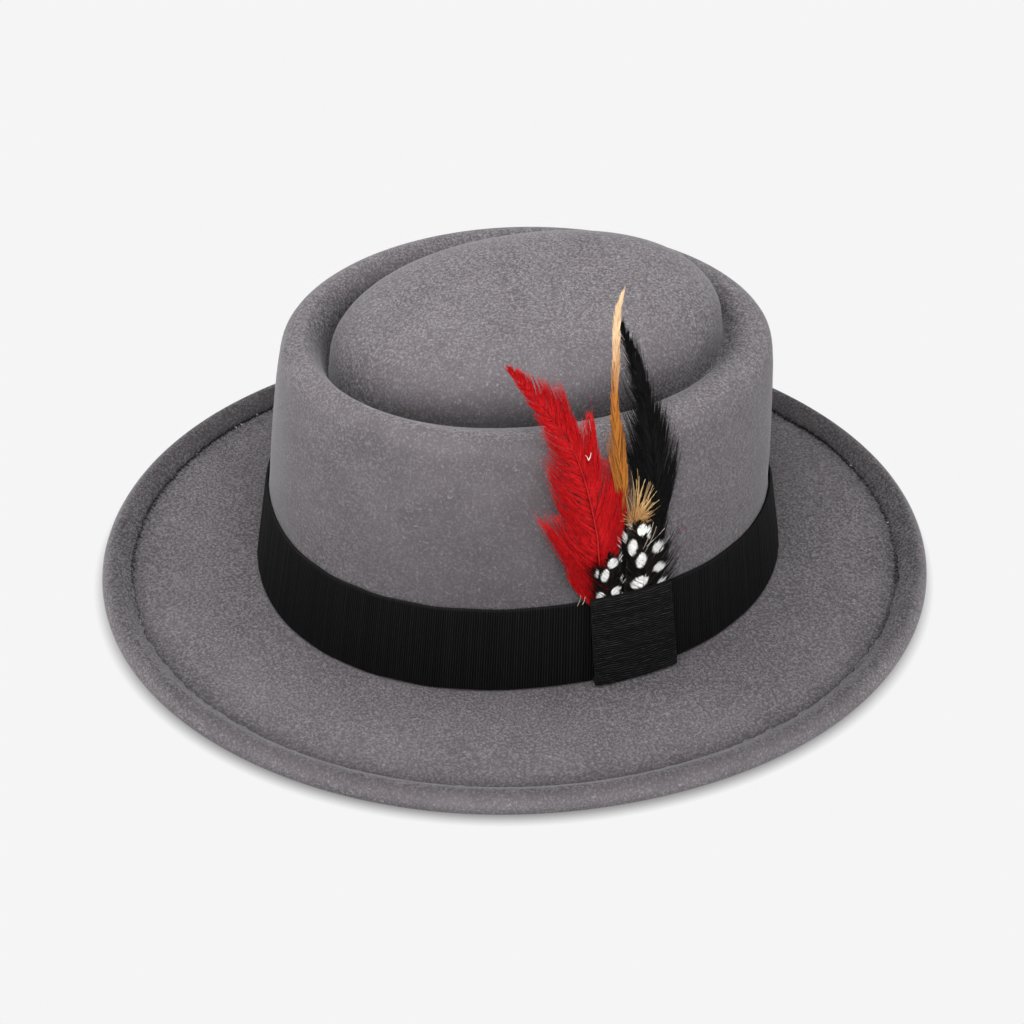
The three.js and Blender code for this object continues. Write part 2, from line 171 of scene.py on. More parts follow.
# Felt fibres: all scales are shares of the group's own scale.
fibre = dict(
    shift=(0.31, 0.17, 0.23), twist=1.3, sharpA=22.0, sharpB=19.0, scaleB=1.35,
    breakScale=1.2, breakFrom=0.38, breakTo=0.6, breakHigh=0.6,
    mottleScale=0.07, mottleDetail=5.0, mottleRough=0.6)


def pointTint(tree):
    # The colour that each point of a mesh carries.
    return addNode(tree, "Attribute", attribute_name="tint").outputs["Color"]


def tinted(tree, colour, factor):
    # Colour * factor, which is a single value or another colour.
    return addNode(tree, "VectorMath", {0: colour, 1: factor}, operation="MULTIPLY").outputs[0]


def twoColours(tree, factor, dark, light):
    # Dark * (1 - factor) + light * factor.
    sockets = {"Factor": factor, "A": (*dark, 1), "B": (*light, 1)}
    return addNode(tree, "Mix", sockets, data_type="RGBA").outputs["Result"]


def dress(tree, shader, colour, height, push, high):
    # Colour into the shader, and height through a bump into its normal.
    tree.links.new(colour, shader.inputs["Base Color"])
    bump = addNode(tree, "Bump", {"Height": height, "Strength": push, "Distance": high})
    tree.links.new(bump.outputs[0], shader.inputs["Normal"])


def hairLines(tree, vector, scale, sharp):
    # Thin winding lines, 1 - sharp * |noise - 0.5|: brightest where the noise crosses its middle.
    noise = addNode(tree, "TexNoise", {
        "Vector": vector, "Scale": scale, "Detail": 0.0, "Distortion": fibre["twist"]})
    away = maths(tree, "ABSOLUTE", maths(tree, "SUBTRACT", noise.outputs["Fac"], 0.5))
    return maths(tree, "SUBTRACT", 1.0, maths(tree, "MULTIPLY", away, sharp), clamp=True)


# Felt hairs: two crossing sets of winding lines, broken up by a noise, and a soft mottle.
tree, into = newGroup(
    "felt hairs", [("Vector", "Vector", (0, 0, 0)), ("Scale", "Float", 600.0)],
    ["Hairs", "Mottle", "Height"])
place, scale = into.outputs["Vector"], into.outputs["Scale"]
shifted = addNode(tree, "VectorMath", {0: place, 1: fibre["shift"]}, operation="ADD").outputs[0]
lineA = hairLines(tree, place, scale, fibre["sharpA"])
lineB = hairLines(tree, shifted, maths(tree, "MULTIPLY", scale, fibre["scaleB"]), fibre["sharpB"])
breaks = addNode(tree, "TexNoise", {
    "Vector": shifted, "Scale": maths(tree, "MULTIPLY", scale, fibre["breakScale"]), "Detail": 1.0})
broken = addNode(tree, "MapRange", {
    "Value": breaks.outputs["Fac"], "From Min": fibre["breakFrom"], "From Max": fibre["breakTo"]})
lines = maths(tree, "MULTIPLY", maths(tree, "MAXIMUM", lineA, lineB), broken.outputs[0])
mottle = addNode(tree, "TexNoise", {
    "Vector": place, "Scale": maths(tree, "MULTIPLY", scale, fibre["mottleScale"]),
    "Detail": fibre["mottleDetail"], "Roughness": fibre["mottleRough"]})
height = maths(tree, "ADD", lines, maths(tree, "MULTIPLY", breaks.outputs["Fac"], fibre["breakHigh"]))
addNode(tree, "NodeGroupOutput", {"Hairs": lines, "Mottle": mottle.outputs["Fac"], "Height": height})
hairGroup = tree

# Woven threads: fine ribs of yarn along one way of the cloth's own map and breaks along the other.
yarn = dict(threads=2600.0, circle=6.2832, ribHigh=0.25, frayScale=900.0, frayDetail=3.0)
tree, into = newGroup(
    "ribbon weave", [("Vector", "Vector", (0, 0, 0)), ("Threads", "Float", yarn["threads"])],
    ["Light", "Height"])
split = addNode(tree, "SeparateXYZ", {"Vector": into.outputs["Vector"]})
phase = maths(tree, "MULTIPLY", split.outputs["Y"], into.outputs["Threads"])
wave = maths(tree, "SINE", maths(tree, "MULTIPLY", phase, yarn["circle"]))
fray = addNode(tree, "TexNoise", {
    "Vector": into.outputs["Vector"], "Scale": yarn["frayScale"], "Detail": yarn["frayDetail"]})
height = maths(tree, "ADD", maths(tree, "MULTIPLY", wave, yarn["ribHigh"]), fray.outputs["Fac"])
addNode(tree, "NodeGroupOutput", {"Light": fray.outputs["Fac"], "Height": height})
weaveGroup = tree


# Sizes in millimetres; the dome's set and level are shares of the crown's set and of its tip.
felt = dict(
    wide=86.0, long=103.0, brimSide=65.9, brimEnd=63.0, rollWide=12.0, rollHigh=9.6, edgeSquare=2.02,
    ridgeHigh=111.9, ridgeWide=72.0, ridgeLong=86.5,
    domeHigh=129.6, domeWide=57.0, domeLong=76.3, grooveHigh=102.0, domeSquare=2.1,
    bulgePower=4.2, fallPower=2.55, domeTip=7.0, domeBack=2.0, domeLeft=2.0, domeSet=0.63, domeLevel=0.21,
    crownBack=0.8, crownSet=1.9, crownTip=1.8, crownEndRise=1.1, ribbonFoot=8.7,
    thick=2.0, creaseDrop=0.6, turns=352, outerStep=2.0, curlStep=1.2, innerStep=5.0,
    ragged=0.55, raggedFine=(40, 260, 24), raggedWide=(5, 30, 6), wideShare=0.7,
    waveSide=150.0, waveEnd=165.0, waveFrom=0.6, waveOver=0.3, waveHigh=0.25, waveLeast=0.02,
    waves=(2, 7, 4),
    hairScale=760.0, hairShare=0.75, mottleShare=0.3, hairPush=0.6, hairHigh=0.0004,
    dark=linear(76, 72, 75), light=linear(159, 153, 157), crease=0.06, creaseFrom=0.3, creaseShade=0.45)

# Ridge: half sizes as shares, shift to the back, height, tilt, rise at the ends, squareness.
ridgeTable = np.array([
    [0.792, 0.884, 0.53, 0.9115, 3.67, 0, 2.1],
    [0.794, 0.91, 0.63, 0.9385, 1.78, 0, 2.11],
    [0.8125, 0.922, 0.79, 0.963, 0.83, 0, 2.12],
    [0.85, 0.941, 0.84, 0.9775, 0.39, 0, 2.09],
    [0.903, 0.963, 0.89, 0.99, -0.11, 0, 2.05],
    [0.958, 0.985, 0.95, 0.9982, -0.5, 0, 2.01],
    [1, 1, 1, 1, -0.72, 0, 1.98],
    [1.04, 1.034, 1, 0.9955, -0.72, 0, 1.98],
    [1.076, 1.064, 1, 0.983, -0.72, 0, 1.98],
    [1.105, 1.088, 1, 0.961, -0.72, 0, 1.98]])
wallTable = np.array([
    [0.942, 0.927, 0.89, 0.885, -0.61, 0, 1.99],
    [0.966, 0.934, 0.63, 0.795, -0.33, 0, 2.02],
    [0.988, 0.941, 0.32, 0.672, 0.11, -0.18, 2.06],
    [1.004, 0.948, 0, 0.517, 0.56, -0.45, 2.1],
    [1.012, 0.9535, -0.32, 0.3595, 0.94, -0.64, 2.13],
    [0.998, 1, 0, 0.0155, 1, 0.91, 2.13]])
# Brim: share out from the base oval to the edge, then as above.
brimTable = np.array([
    [0.004, 0, 0.892, 1, 1, 2.13],
    [0.022, 0, 0.7875, 1, 1, 2.13],
    [0.075, 0, 0.7375, 0.89, 0.91, 2.12],
    [0.42, -0.21, 0.633, 0.5, 0.45, 2.08],
    [0.7, -0.37, 0.533, 0.17, 0.18, 2.04]])
# Rolled edge: share in from the outermost line, share of the roll's height.
curlInside = np.array([
    [1, 0.44], [0.8, 0.3], [0.52, 0.215], [0.29, 0.26], [0.18, 0.46],
    [0.28, 0.72], [0.45, 0.775], [0.64, 0.67], [0.79, 0.545], [0.905, 0.455]])
curlOutside = np.array([
    [0.98, 0.495], [0.905, 0.62], [0.785, 0.73], [0.66, 0.855], [0.48, 0.97], [0.31, 1],
    [0.145, 0.84], [0.04, 0.66], [0, 0.44], [0.08, 0.17], [0.28, 0.003], [0.44, 0],
    [0.6, 0.003], [0.86, 0.11], [1.12, 0.25]])
# Dome rows, outer and inner face, as shares from its middle to the groove.
domeRows = np.array([0.03, 0.12, 0.24, 0.36, 0.48, 0.58, 0.67, 0.75, 0.82, 0.88, 0.925, 0.955, 0.98])
domeInsideRows = np.array([0.05, 0.28, 0.48, 0.65, 0.78, 0.88, 0.95])
# Wall rows under the ribbon, as shares from its top to its foot.
ribbonRows = np.array([[0.08], [0.35], [0.65], [0.94]])
# Rows of ridge, wall and brim that the inner face keeps, from the edge up.
insideRows = [19, 18, 17, 16, 15, 14, 12, 10, 8, 6, 4, 2]
# How ragged the three rows before the cut edge and the three from it on are.
raggedShares = np.array([[0.2], [0.6], [1], [1], [0.55], [0.2]])
# Painted shade and light, row by row: painted shade darkens the groove, the brim at the seam, the hidden
# inside of the rolled edge, and its inner face and crest; painted light brightens its outer face.
edgePaintedShade, hemPaintedShade = 0.92, 0.6
domePaintedShade = [1] * 9 + [0.98, 0.94, 0.88, 0.8]
ridgePaintedShade = [0.72, 0.72, 0.78, 0.86, 0.94] + [1] * 5
curlPaintedShadeAndLight = [0.46, 0.54, 0.64, 0.64, 0.6, 0.76, 1.08, 1.34, 1.4, 1.4, 1.34, 1.16, 1, 1, 1]


def ovalPoints(ovals, turns):
    # x = left + wide * sgn(cos) |cos|^(2/square) and y the same with sine, long and back;
    # height = up + tilt * sin(turn) - ends * cos(2 turn). Columns as in the tables.
    o = np.atleast_2d(ovals)[:, None, :]
    c, s = np.cos(turns), np.sin(turns)
    bow = 2 / o[..., 6]
    return np.stack([
        o[..., 7] + o[..., 0] * np.sign(c) * np.abs(c) ** bow,
        o[..., 2] + felt["crownBack"] + o[..., 1] * np.sign(s) * np.abs(s) ** bow,
        o[..., 3] + o[..., 4] * s - o[..., 5] * np.cos(2 * turns)], -1)


def settled(wide, long, rest, up):
    # Shares of the crown's set, tip and end rise to millimetres.
    return np.stack([wide, long, felt["crownSet"] * rest[:, 0], up, felt["crownTip"] * rest[:, 2],
                     felt["crownEndRise"] * rest[:, 3], rest[:, 4], np.zeros(len(rest))], 1)


def domeOvals(share):
    # Rise = (1 - share^bulge)^(1/fall), from the middle to the groove.
    rise = (1 - share ** felt["bulgePower"]) ** (1 / felt["fallPower"])
    return np.stack([
        felt["domeWide"] * share, felt["domeLong"] * share,
        felt["crownSet"] * felt["domeSet"] + felt["domeBack"] * (1 - share ** 2),
        felt["grooveHigh"] + (felt["domeHigh"] - felt["grooveHigh"]) * rise,
        felt["domeTip"] * (1 - felt["domeLevel"] * rise) * share, 0 * share, felt["domeSquare"] + 0 * share,
        felt["domeLeft"] * (0.5 * share ** 2 - 1)], 1)


def insideOf(rows, thick):
    # Rows moved inward by a thickness, square to their own profile.
    before, after = np.vstack([rows[:1], rows[:-1]]), np.vstack([rows[1:], rows[-1:]])
    aside = (after[:, :2] - before[:, :2]).mean(1)
    up = after[:, 3] - before[:, 3]
    size = np.hypot(aside, up)
    moved = rows.copy()
    moved[:, :2] += (thick * up / size)[:, None]
    moved[:, 3] -= thick * aside / size
    return moved


def edgeOvals(rows):
    # Half size = crown + brim - roll's width * share in; height = roll's height * share up.
    inward, up = rows.T
    zero = np.zeros(len(rows))
    return np.stack([
        felt["wide"] + felt["brimSide"] - felt["rollWide"] * inward,
        felt["long"] + felt["brimEnd"] - felt["rollWide"] * inward,
        zero - felt["crownBack"], felt["rollHigh"] * up, zero, zero, zero + felt["edgeSquare"], zero], 1)


def turnNoise(turns, slowest, fastest, count):
    # A sum of sines round the hat with seeded phases, about -1 to 1.
    waves = rng.integers(slowest, fastest, count)
    phases = rng.uniform(0, 2 * np.pi, count)
    return np.sin(waves[:, None] * turns + phases[:, None]).sum(0) / np.sqrt(count)


ridge = settled(felt["ridgeWide"] * ridgeTable[:, 0], felt["ridgeLong"] * ridgeTable[:, 1],
                ridgeTable[:, 2:], felt["ridgeHigh"] * ridgeTable[:, 3])
wall = settled(felt["wide"] * wallTable[:, 0], felt["long"] * wallTable[:, 1], wallTable[:, 2:],
               felt["ribbonFoot"] + (felt["ridgeHigh"] - felt["ribbonFoot"]) * wallTable[:, 3])
brim = settled(felt["wide"] + felt["brimSide"] * brimTable[:, 0],
               felt["long"] + felt["brimEnd"] * brimTable[:, 0],
               brimTable[:, 1:], felt["rollHigh"] * brimTable[:, 2])
wallTop, wallFoot = wall[4], wall[5]
underRibbon = wallTop + (wallFoot - wallTop) * ribbonRows


def buildFeltBody(material):
    # One closed surface: dome, groove, ridge, wall, brim and curl outside, then the inner face back.
    turns = np.arange(felt["turns"]) / felt["turns"] * 2 * np.pi
    outer = np.vstack([domeOvals(domeRows), ridge, wall[:5], underRibbon, wallFoot[None], brim])
    hem = edgeOvals(curlInside)
    # Each row's painted shade rides along as a ninth column and ends in the points' tint.
    plain = len(outer) - len(domePaintedShade) - len(ridgePaintedShade) - 1
    shade = np.concatenate([
        domePaintedShade, ridgePaintedShade, np.ones(plain), [edgePaintedShade], np.full(len(hem), hemPaintedShade)])
    top = smoothRows(np.column_stack([np.vstack([outer, hem]), shade]), felt["outerStep"])
    body = np.vstack([ridge, wall[:5], wallFoot[None], brim, hem[:1]])
    inside = insideOf(body, felt["thick"])[insideRows]
    crease = np.vstack([ridge[0], ridge[0]])
    crease[:, :2] += np.array([[felt["thick"]], [-felt["thick"]]])
    crease[:, 3] -= felt["thick"] * felt["creaseDrop"]
    domeInside = insideOf(domeOvals(domeInsideRows), felt["thick"])
    under = smoothRows(np.column_stack([edgeOvals(curlOutside), curlPaintedShadeAndLight]), felt["curlStep"])
    lining = np.vstack([edgeOvals(curlOutside[-1:]), inside, crease, domeInside[::-1]])
    lining = smoothRows(lining, felt["innerStep"])[1:]
    lining = np.column_stack([lining, np.ones(len(lining))])
    ovals = np.vstack([top, under, lining])
    points = ovalPoints(ovals, turns)
    cut = len(top)                                     # first row of the curl's outer face
    ragged = felt["ragged"] * (turnNoise(turns, *felt["raggedFine"])
                               + felt["wideShare"] * turnNoise(turns, *felt["raggedWide"]))
    points[cut - 3:cut + 3, :, 0] += np.cos(turns) * ragged * raggedShares
    points[cut - 3:cut + 3, :, 1] += np.sin(turns) * ragged * raggedShares
    # The brim is never dead flat: slow waves that grow towards the edge, upward only.
    out = np.hypot(points[..., 0] / felt["waveSide"], points[..., 1] / felt["waveEnd"])
    out = np.clip((out - felt["waveFrom"]) / felt["waveOver"], 0, 1)
    wave = np.maximum(0, felt["waveHigh"] * (1 + turnNoise(turns, *felt["waves"])))
    points[..., 2] += out * wave + felt["waveLeast"] * out
    grid = points.reshape(-1, 3)
    index = np.arange(len(grid)).reshape(len(ovals), -1)
    apex = [-felt["domeLeft"], felt["crownBack"] + felt["crownSet"] * felt["domeSet"] + felt["domeBack"]]
    grid = np.vstack([grid, [*apex, points[0, :, 2].mean()], [*apex, points[-1, :, 2].mean()]])
    after = np.roll(index, -1, 1)
    middle = np.full(felt["turns"], index.size)
    fans = [np.stack([index[0], after[0], middle], 1), np.stack([after[-1], index[-1], middle + 1], 1)]
    tint = np.append(np.repeat(ovals[:, 8], felt["turns"]), [1, 1])[:, None] * np.ones(3)
    addPiece("felt_body_soft", grid, [gridFaces(index, True), *fans], material, ["felt_body"],
             tint=tint)


material, tree, shader = newMaterial(
    "grey wool felt", Roughness=0.92, Sheen_Weight=0.38, Sheen_Roughness=0.35,
    Sheen_Tint=(0.95, 0.93, 0.96, 1), Specular_IOR_Level=0.1)
place = addNode(tree, "TexCoord").outputs["Object"]
hairs = addNode(tree, "Group", {"Vector": place, "Scale": felt["hairScale"]}, node_tree=hairGroup)
shade = maths(tree, "ADD", maths(tree, "MULTIPLY", hairs.outputs["Hairs"], felt["hairShare"]),
              maths(tree, "MULTIPLY", hairs.outputs["Mottle"], felt["mottleShare"]), clamp=True)
# The points' tint brings in the rows' painted shade and painted light.
colour = tinted(tree, twoColours(tree, shade, felt["dark"], felt["light"]), pointTint(tree))
# Painted shade: the colour darkens where the felt's own surfaces close in, in the groove and the creases.
deep = addNode(tree, "AmbientOcclusion", {"Distance": felt["crease"]}, samples=4, only_local=True)
creasePaintedShade = addNode(tree, "MapRange", {
    "Value": deep.outputs["AO"], "From Min": felt["creaseFrom"], "From Max": 1.0,
    "To Min": felt["creaseShade"], "To Max": 1.0})
colour = tinted(tree, colour, creasePaintedShade.outputs[0])
dress(tree, shader, colour, hairs.outputs["Height"], felt["hairPush"], felt["hairHigh"])
buildFeltBody(material)


# Stitches across the cut edge, in millimetres; worn ones, towards the front, are smaller and sink.
stitch = dict(
    count=440, inward=12.0, up=5.3, length=2.6, thick=0.42, rings=5, sides=5, spread=0.4, slant=0.5,
    drift=0.25, sizes=(0.6, 1.15), fall=0.55, arch=0.55, droop=0.35, blunt=1.06,
    front=-0.24, wornFrom=0.6, wornOver=0.5, wornSize=0.3, wornDrop=0.9, tones=(0.6, 1.8),
    lintTurns=[218.2, 219.4, 214.5, 229.0, 101.5, 84.5], lintSize=0.5, lintThick=1.3, lintUp=0.25,
    thread=linear(34, 31, 33), felted=linear(92, 87, 91), lint=linear(246, 246, 246))


def buildStitches(material):
    # Short threads arched over the cut edge: up = up - fall * u + arch * (1 - u^2) - droop * u^2,
    # u from -1 to 1 along each, with its own size and slant. Lint is a few white ones.
    n = stitch["count"]
    turn = (np.arange(n) + rng.uniform(-stitch["spread"], stitch["spread"], n)) / n * 2 * np.pi
    turn = np.concatenate([turn, np.radians(stitch["lintTurns"])])
    m = len(turn)
    white = np.arange(m) >= n
    worn = np.clip((stitch["wornFrom"] - np.cos(turn - stitch["front"])) / stitch["wornOver"], 0, 1)
    sewn = rng.uniform(*stitch["sizes"], m) * (stitch["wornSize"] + (1 - stitch["wornSize"]) * worn)
    size = np.where(white, stitch["lintSize"], sewn)[:, None]
    u = np.linspace(-1, 1, stitch["rings"])[None]
    slant = rng.normal(0, stitch["slant"], (m, 1))
    inward = stitch["inward"] + rng.normal(0, stitch["drift"], (m, 1)) + u * stitch["length"] / 2 * size
    up = stitch["up"] - stitch["fall"] * u * size + stitch["arch"] * (1 - u ** 2) * size
    up = up - stitch["droop"] * u ** 2
    up = up + np.where(white, stitch["lintUp"], 0)[:, None] - stitch["wornDrop"] * (1 - worn)[:, None]
    around = u * slant * size
    c, s = np.cos(turn)[:, None], np.sin(turn)[:, None]
    wide = felt["wide"] + felt["brimSide"] - inward
    long = felt["long"] + felt["brimEnd"] - inward
    middle = np.stack([wide * c - s * around, long * s + c * around, up], -1)
    ring = np.arange(stitch["sides"]) / stitch["sides"] * 2 * np.pi
    radius = stitch["thick"] * np.sqrt(np.clip(stitch["blunt"] - u ** 2, 0, 1)) * size
    radius = radius * np.where(white, stitch["lintThick"], 1)[:, None] / 2
    side = np.stack([-s + 0 * u, c + 0 * u, 0 * (s + u)], -1)
    points = middle[:, :, None] + radius[..., None, None] * (
        side[:, :, None] * np.cos(ring)[:, None] + np.array([0, 0, 1]) * np.sin(ring)[:, None])
    dark = stitch["thread"] * rng.uniform(*stitch["tones"], (m, 1))
    dark = blend(stitch["felted"], dark, worn[:, None])
    tint = np.where(white[:, None], stitch["lint"], dark)
    tint = np.broadcast_to(tint[:, None, None], points.shape)
    addPiece("hem_stitches", points, rodFaces(m, stitch["rings"], stitch["sides"]), material,
             tint=tint)


material, tree, shader = newMaterial("hem thread", Roughness=0.85, Specular_IOR_Level=0.1)
tree.links.new(pointTint(tree), shader.inputs["Base Color"])
buildStitches(material)

# Sizes in millimetres, turns in degrees; the crest values are painted light on each rib's top and painted
# shade in its grooves.
ribbon = dict(
    foot=felt["ribbonFoot"], high=37.1, thick=1.0, flare=0.6, gap=0.3, swell=0.95, selvedge=0.72,
    ribs=700, ribDeep=0.42, perRib=4, slub=0.25, slubWaves=(60, 400, 20), mapLength=95.0,
    edgeRib=0.09, edgeWave=0.12, edgeWaves=(6, 30, 8), paintedGrooveShade=0.08, paintedCrestLight=3.0,
    paintedCrestLightShares=(0.8, 1.2), black=linear(16, 16, 17), dull=0.5, bright=1.4, push=0.35, pushHigh=0.0001)
tab = dict(
    fold=1.2, out=2.7, rise=3.4, half=8.85, top=11.6, foot=12.8, ribs=38, ribDeep=0.42, perRib=4,
    columns=30, rollIn=0.1, rollFoot=0.55, rollHead=0.36, ribFoot=0.022, ribHead=0.014, sag=0.35,
    wobble=0.1, stagger=0.22, mapWide=13.0, plain=0.6, paintedGrooveShade=0.02, paintedCrestLight=4.6, rowHighlightShares=(0.7, 1.35),
    highlightBreakShares=(0.45, 1.55))


def ribbonOval(share, out):
    # Between the wall's oval at the ribbon's foot and the one at its top, set out by the gap.
    foot = wallFoot.copy()
    foot[3:6] = ribbon["foot"], felt["crownTip"], felt["crownEndRise"]
    top = wallTop.copy()
    top[3] = ribbon["foot"] + ribbon["high"]
    share = np.atleast_1d(share)[:, None]
    oval = foot + (top - foot) * share
    oval[:, :2] += ribbon["gap"] + np.reshape(out, (-1, 1)) + ribbon["flare"] * (1 - share)
    return oval


def ribbonPoint(share, turn, out):
    # A point outside the ribbon: share of its height, turn in degrees, distance out.
    oval = ribbonOval(share, ribbon["thick"])
    turn = np.radians(turn)
    points = ovalPoints(oval, turn)
    o = oval[:, None, :]
    normal = np.stack([points[..., 0] / o[..., 0] ** 2,
                       (points[..., 1] - o[..., 2] - felt["crownBack"]) / o[..., 1] ** 2], -1)
    normal /= np.linalg.norm(normal, axis=-1, keepdims=True)
    points[..., :2] += normal * np.asarray(out)[..., None]
    return points


def buildBand(material):
    # The ribbon's section carried round the crown. Its outer face swells at each rib by
    # ribDeep * ((1 - cos(ribs * turn)) / 2 * slub - 1/2), less near its two edges.
    share = np.array([0, 0.012, 0.035, 0.2, 0.4, 0.6, 0.8, 0.965, 0.988, 1, 1, 0.5, 0])
    swell = np.array([0, 0.35, 1, 1, 1, 1, 1, 1, 0.35, 0, 0, 0, 0])
    out = np.array([ribbon["selvedge"], *[ribbon["swell"]] * 8, ribbon["selvedge"], 0, 0, 0])
    columns = ribbon["ribs"] * ribbon["perRib"]
    turns = np.arange(columns) / columns * 2 * np.pi
    points = ovalPoints(ribbonOval(share, out), turns)
    rib = 0.5 - 0.5 * np.cos(turns * ribbon["ribs"])
    slub = 1 + ribbon["slub"] * turnNoise(turns, *ribbon["slubWaves"])
    depth = swell[:, None] * (rib * slub - 0.5) * ribbon["ribDeep"]
    points[..., 0] += np.cos(turns) * depth
    points[..., 1] += np.sin(turns) * depth
    # Painted light on each rib's top and painted shade in its grooves, a little stronger on some ribs.
    crestLightPerRib = np.repeat(rng.uniform(*ribbon["paintedCrestLightShares"], ribbon["ribs"]), ribbon["perRib"])
    paintedRibShading = (ribbon["paintedGrooveShade"] + ribbon["paintedCrestLight"] * rib ** 2) * crestLightPerRib
    tint = np.broadcast_to(paintedRibShading[None, :, None], (*points.shape[:2], 3))
    edge = ribbon["edgeRib"] * np.sin(turns * ribbon["ribs"])
    edge = edge + ribbon["edgeWave"] * turnNoise(turns, *ribbon["edgeWaves"])
    points[[0, 9, 10, 12], :, 2] += edge               # the four corners of the section
    index = np.arange(points.size // 3).reshape(len(share), columns)
    index = np.vstack([index, index[:1]])
    metres = turns * ribbon["mapLength"] * mm
    uv = np.stack(np.broadcast_arrays(metres[None, :], (share * ribbon["high"] * mm)[:, None]), -1)
    addPiece("ribbon_band_ribbed", points, [gridFaces(index, True)], material, ["ribbon_band"],
             tint=tint, uv=uv)


def buildTab(material):
    # The folded tab: an outer path with ribs and an inner path, joined into one closed section.
    # Its middle sags by sag * (1 - across^2) * sin(pi * share), and its ribs wander up and down.
    fold = tab["out"] + tab["fold"]
    head = 1 + tab["rise"] / ribbon["high"]
    steps = tab["ribs"] * tab["perRib"]
    ribbed = slice(2, steps + 2)
    climb = np.linspace(tab["ribFoot"], head - tab["ribHead"], steps)
    wave = (0.5 - 0.5 * np.cos(np.arange(steps) / tab["perRib"] * 2 * np.pi) - 0.5) * tab["ribDeep"]
    outerOut = np.concatenate([[ribbon["gap"], fold - tab["rollFoot"]], fold - tab["rollIn"] + wave,
                               [fold - tab["rollHead"]]])
    outerUp = np.concatenate([[0.004, 0.0], climb, [head]])
    innerOut = np.concatenate([[ribbon["gap"], tab["out"] - 0.3], np.full(steps + 1, tab["out"])])
    innerUp = np.concatenate([[0.045, 0.05], np.linspace(0.06, head - 0.01, steps), [head]])
    out = np.concatenate([outerOut, innerOut[::-1]])
    share = np.concatenate([outerUp, innerUp[::-1]])
    across = np.sin(np.linspace(-np.pi / 2, np.pi / 2, tab["columns"]))
    middle = tab["foot"] + (tab["top"] - tab["foot"]) * share
    turn = middle[:, None] + across[None, :] * tab["half"]
    sag = tab["sag"] * (1 - across ** 2) * np.sin(np.clip(share, 0, 1) * np.pi)[:, None]
    wobble = tab["wobble"] * np.sin(across[None, :] * 9 + share[:, None] * 40)
    front = out[:, None] > 3                           # the outer path only
    points = ribbonPoint(share, turn, out[:, None] - sag + wobble * front)
    wander = np.sin(across * 14 + np.sin(climb * 23)[:, None] * 2) * (1 - across ** 8)
    points[ribbed, :, 2] += tab["stagger"] * wander
    # Painted light on the ribs' tops and painted shade in their grooves, broken up rib by rib and spot by
    # spot; rows off the ribs keep a plain factor.
    paintedRibShading = np.full(len(share), tab["plain"])
    paintedRibShading[ribbed] = tab["paintedGrooveShade"] + tab["paintedCrestLight"] * (wave / tab["ribDeep"] + 0.5) ** 3
    tint = np.tile(paintedRibShading[:, None, None], (1, tab["columns"], 3))
    rows = rng.uniform(*tab["rowHighlightShares"], (tab["ribs"], 1))
    highlightBreaks = rng.uniform(*tab["highlightBreakShares"], (tab["ribs"], tab["columns"]))
    tint[ribbed] *= np.repeat(rows * highlightBreaks, tab["perRib"], 0)[..., None]
    index = np.arange(len(share) * tab["columns"]).reshape(len(share), -1)
    ring = np.vstack([index, index[:1]])
    facing = np.stack([index, index[::-1]], 1)[:len(share) // 2]
    sides = [gridFaces(facing[..., 0], False)[:, ::-1], gridFaces(facing[..., -1], False)]
    uv = np.stack(np.broadcast_arrays((share * ribbon["high"] * mm)[:, None],
                                      across[None, :] * tab["mapWide"] * mm), -1)
    addPiece("ribbon_tab_ribbed", points, [gridFaces(ring, False), *sides], material,
             ["ribbon_tab"], tint=tint, uv=uv)


material, tree, shader = newMaterial(
    "black ribbed ribbon", Roughness=0.7, Sheen_Weight=0.02, Sheen_Roughness=0.4, Specular_IOR_Level=0.09)
cloth = addNode(tree, "TexCoord").outputs["UV"]
weave = addNode(tree, "Group", {"Vector": cloth, "Threads": yarn["threads"]}, node_tree=weaveGroup)
colour = twoColours(
    tree, weave.outputs["Light"], ribbon["black"] * ribbon["dull"], ribbon["black"] * ribbon["bright"])
# The points' tint paints light onto the ribs' tops and shade into their grooves.
colour = tinted(tree, colour, pointTint(tree))
dress(tree, shader, colour, weave.outputs["Height"], ribbon["push"], ribbon["pushHigh"])
buildBand(material)
buildTab(material)


plume = dict(
    turn=13.0, tuck=4.8, spread=14.0, blade=0.7, bladeGap=0.4, lean=0.1056, leanStart=1.5, bow=7.7,
    fanRise=30.0, bowTall=131.1)
root, ahead = ribbonPoint(1, np.array([plume["turn"], plume["turn"] + 0.01]), 0)[0]
along = (ahead - root)[:2] / np.linalg.norm((ahead - root)[:2])
outward = np.array([along[1], -along[0]])
ribbonTop = ribbonOval(1, ribbon["thick"])[0]
plumeTop = ribbon["foot"] + ribbon["high"]
plumeFoot = plumeTop - plume["tuck"]


def sheetPoints(across, up, lift, tucked, layer):
    # The feather's curved sheet: behind the tab it hugs the ribbon, above it leans in with the crown.
    share = np.clip((up - plumeTop - tab["rise"] - 2 * plume["bladeGap"]) / plume["fanRise"], 0, 1)
    fan = eased(share)
    high = np.maximum(up - plumeTop, 0)
    lean = plume["leanStart"] - plume["lean"] * high - plume["bow"] * (high / plume["bowTall"]) ** 2
    bend = 2 * ribbonTop[1] ** 2 / ribbonTop[0]
    away = blend(tucked - across ** 2 / bend, lean + layer, fan) + lift
    return np.stack([root[0] + along[0] * across + outward[0] * away,
                     root[1] + along[1] * across + outward[1] * away, up], -1)


